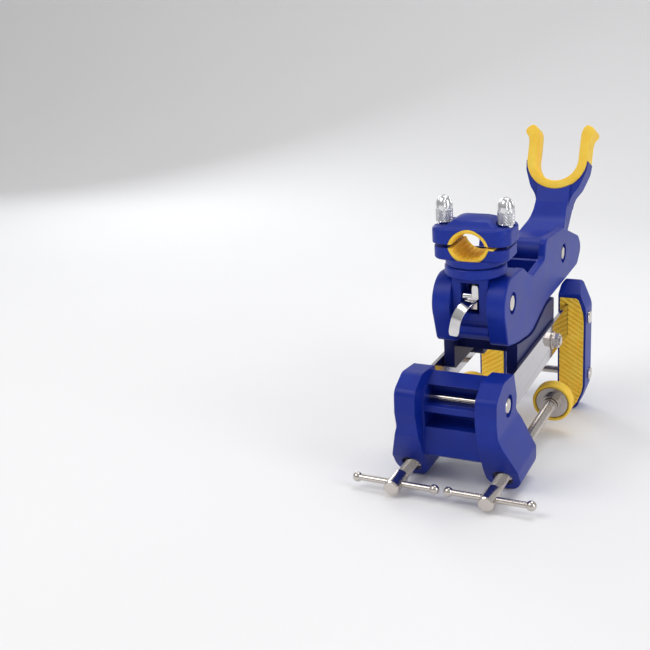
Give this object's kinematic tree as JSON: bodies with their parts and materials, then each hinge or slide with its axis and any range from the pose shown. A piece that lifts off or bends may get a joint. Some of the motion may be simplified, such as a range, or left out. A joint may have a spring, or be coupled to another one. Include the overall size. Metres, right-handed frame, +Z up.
{
  "type": "clamp-on fishing rod holder",
  "caption": "Boat rod holder: a two-screw rail clamp with a steel-bar frame, a tilting and swivelling rod clamp in front and a folding U cradle behind.",
  "frame": {"origin": "middle of the overall outline, on the surface that the screw bosses and the jaw tips stand on", "axes": "+X across the holder, to the right seen from the screw handles; +Y from the handles to the rear jaw; +Z up"},
  "size_m": [0.1486, 0.3664, 0.2636],
  "materials": {
    "blue_moulding": "satin moulded",
    "dark_moulding": "satin moulded",
    "yellow_rubber": "soft, ribbed",
    "bar_steel": "polished flat bar",
    "screw_steel": "bright turned",
    "bright_nickel": "bright plated, knurled",
    "chrome_plate": "bright",
    "white_nylon": "plain"
  },
  "bodies": {
    "clamp": {"block_cross_rod": "screw_steel", "cradle_bolt": "screw_steel", "cradle_nut": "screw_steel", "frame_body": "blue_moulding", "frame_bolt": "screw_steel", "frame_nut": "screw_steel", "frame_washer_left": "screw_steel", "frame_washer_right": "screw_steel", "front_block": "blue_moulding", "jaw_cross_rod": "screw_steel", "jaw_leg_left": "blue_moulding", "jaw_leg_right": "blue_moulding", "jaw_pad_left": "yellow_rubber", "jaw_pad_right": "yellow_rubber", "jaw_rivet_left": "screw_steel", "jaw_rivet_right": "screw_steel", "saddle": "dark_moulding", "screw_bush_left": "screw_steel", "screw_bush_right": "screw_steel", "side_bar_left": "bar_steel", "side_bar_right": "bar_steel", "stop_rivet_left": "screw_steel", "stop_rivet_right": "screw_steel", "tilt_pin": "screw_steel"},
    "pad_left": {"pad_dish_left": "screw_steel", "pad_boot_left": "yellow_rubber"},
    "pad_right": {"pad_dish_right": "screw_steel", "pad_boot_right": "yellow_rubber"},
    "screw_left": {"clamp_screw_left": "screw_steel", "pad_clip_left": "screw_steel", "screw_handle_left": "screw_steel"},
    "screw_right": {"clamp_screw_right": "screw_steel", "pad_clip_right": "screw_steel", "screw_handle_right": "screw_steel"},
    "post": {"head_post": "blue_moulding", "swivel_washer": "white_nylon", "lever_pin": "screw_steel"},
    "lever": {"safety_lever": "chrome_plate", "lever_pawl": "screw_steel"},
    "turret": {"clamp_lower": "blue_moulding", "liner_lower": "yellow_rubber", "cap_stud_left": "screw_steel", "cap_stud_right": "screw_steel", "swivel_bolt": "screw_steel"},
    "cap": {"clamp_cap": "blue_moulding", "liner_upper": "yellow_rubber"},
    "thumb_left": {"thumb_nut_left": "bright_nickel"},
    "thumb_right": {"thumb_nut_right": "bright_nickel"},
    "cradle_arm": {"cradle": "blue_moulding", "cradle_liner": "yellow_rubber"}
  },
  "joints": [
    {"name": "feed_left", "type": "slide", "parent": "clamp", "child": "pad_left", "axis": [0, 0.9946, 0.1042], "range_m": [-0.09, 0.005]},
    {"name": "turn_left", "type": "hinge", "parent": "pad_left", "child": "screw_left", "pos_m": [-0.038, -0.12699, 0.01424], "axis": [0, 0.9946, 0.1042], "range_deg": [-21602, 1202]},
    {"name": "feed_right", "type": "slide", "parent": "clamp", "child": "pad_right", "axis": [0, 0.9946, 0.1042], "range_m": [-0.09, 0.005]},
    {"name": "turn_right", "type": "hinge", "parent": "pad_right", "child": "screw_right", "pos_m": [0.038, -0.12699, 0.01424], "axis": [0, 0.9946, 0.1042], "range_deg": [-21602, 1202]},
    {"name": "head_tilt", "type": "hinge", "parent": "clamp", "child": "post", "pos_m": [0, -0.09416, 0.14235], "axis": [1, 0, 0], "range_deg": [0, 60]},
    {"name": "lever_press", "type": "hinge", "parent": "post", "child": "lever", "pos_m": [0, -0.10583, 0.14817], "axis": [1, 0, 0], "range_deg": [-25, 0], "stiffness_Nm_per_rad": 0.05, "springref_deg": 17.19},
    {"name": "head_swivel", "type": "hinge", "parent": "post", "child": "turret", "pos_m": [0, -0.09923, 0.19069], "axis": [0, -0.1042, 0.9946], "range_deg": [-90, 90]},
    {"name": "cap_lift", "type": "slide", "parent": "turret", "child": "cap", "axis": [0, -0.1042, 0.9946], "range_m": [0, 0.005]},
    {"name": "thumb_turn_left", "type": "hinge", "parent": "cap", "child": "thumb_left", "pos_m": [-0.025, -0.10104, 0.208], "axis": [0, -0.1042, 0.9946], "range_deg": [-1, 1801]},
    {"name": "thumb_turn_right", "type": "hinge", "parent": "cap", "child": "thumb_right", "pos_m": [0.025, -0.10104, 0.208], "axis": [0, -0.1042, 0.9946], "range_deg": [-1, 1801]},
    {"name": "cradle_fold", "type": "hinge", "parent": "clamp", "child": "cradle_arm", "pos_m": [0, 0.06648, 0.15416], "axis": [1, 0, 0], "range_deg": [0, 75]}
  ],
  "couplings": [
    {"joint": "turn_left", "follows": "feed_left", "rad_per_m": 4188.8},
    {"joint": "turn_right", "follows": "feed_right", "rad_per_m": 4188.8},
    {"joint": "thumb_turn_left", "follows": "cap_lift", "rad_per_m": 6283.2},
    {"joint": "thumb_turn_right", "follows": "cap_lift", "rad_per_m": 6283.2}
  ]
}
